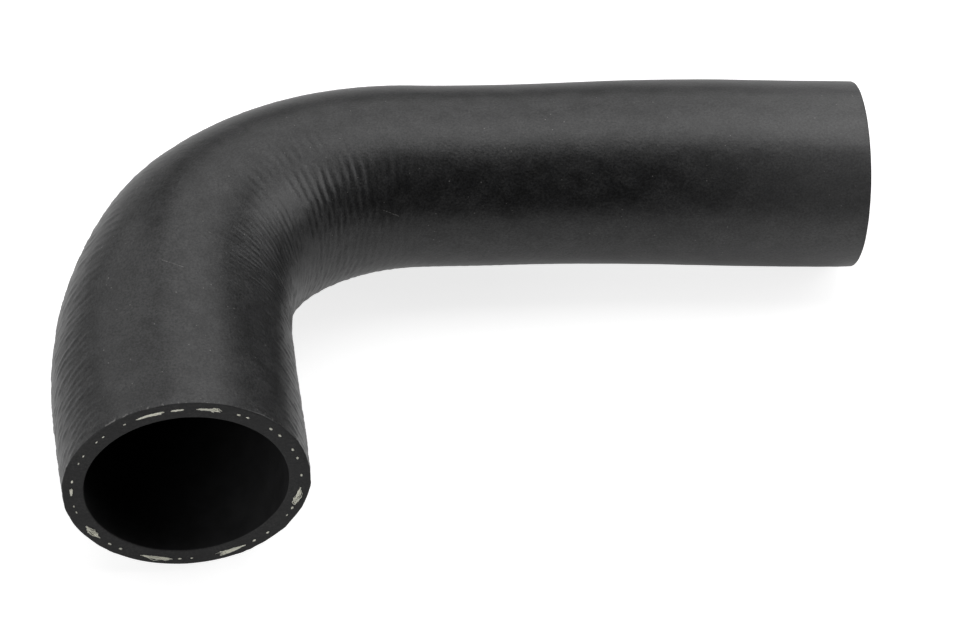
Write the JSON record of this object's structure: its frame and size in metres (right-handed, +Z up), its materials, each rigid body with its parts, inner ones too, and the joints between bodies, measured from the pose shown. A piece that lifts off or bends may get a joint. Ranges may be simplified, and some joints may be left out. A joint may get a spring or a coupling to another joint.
{
  "type": "air intake hose",
  "caption": "Moulded black rubber intake hose: a right-angle elbow with square-cut ends that narrows through its bend to a longer, slimmer arm.",
  "frame": {"origin": "on the surface that the hose lies on, under the middle of its box", "axes": "+X along the long arm, out of the small end; -Y out of the large end; +Z up as the hose lies"},
  "size_m": [0.2134, 0.13, 0.0629],
  "materials": {
    "rubber": "matte black moulded rubber with a fine cloth-wrapped grain, paler at the two cut faces, where cream yarn ends show"
  },
  "bodies": {
    "root": {"hose": "rubber"}
  },
  "joints": []
}
